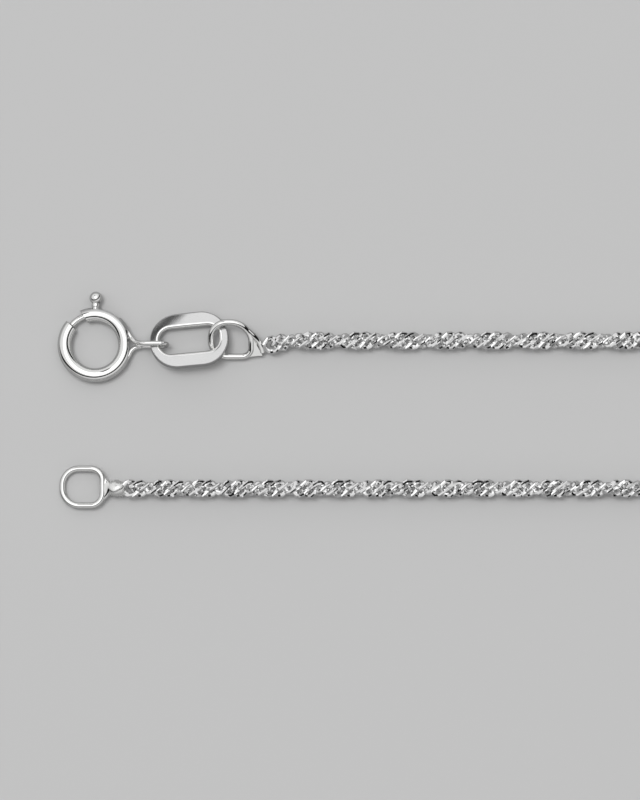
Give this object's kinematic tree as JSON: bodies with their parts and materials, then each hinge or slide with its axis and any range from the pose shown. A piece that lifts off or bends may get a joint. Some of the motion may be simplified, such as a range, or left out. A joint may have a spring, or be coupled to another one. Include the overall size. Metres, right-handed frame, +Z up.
{
  "type": "singapore chain necklace",
  "caption": "Fine twisted curb (singapore) chain necklace in polished white metal, lying unclasped, with a spring ring clasp, oval link and end loops.",
  "frame": {"origin": "on the surface that the necklace lies on, under the middle of its bounding box", "axes": "+X from the two ends to the far side of the loop, +Y from the tail end to the clasp end, +Z up from the surface"},
  "size_m": [0.1782, 0.1114, 0.0017],
  "materials": {
    "polished_metal": "polished silver",
    "flat_metal": "polished, slightly satin stamped silver",
    "cut_metal": "diamond cut silver with bright flat facets"
  },
  "bodies": {
    "necklace": {"clasp_ring": "polished_metal", "oval_link": "flat_metal", "end_loop_clasp": "polished_metal", "chain": "cut_metal", "end_loop_tail": "polished_metal"},
    "trigger": {"clasp_bolt": "polished_metal"}
  },
  "joints": [
    {"name": "trigger_draw", "type": "hinge", "parent": "necklace", "child": "trigger", "pos_m": [-0.08631, 0.00513, 0.00052], "axis": [0, 0, 1], "range_deg": [-34, 0], "stiffness_Nm_per_rad": 0.003}
  ]
}
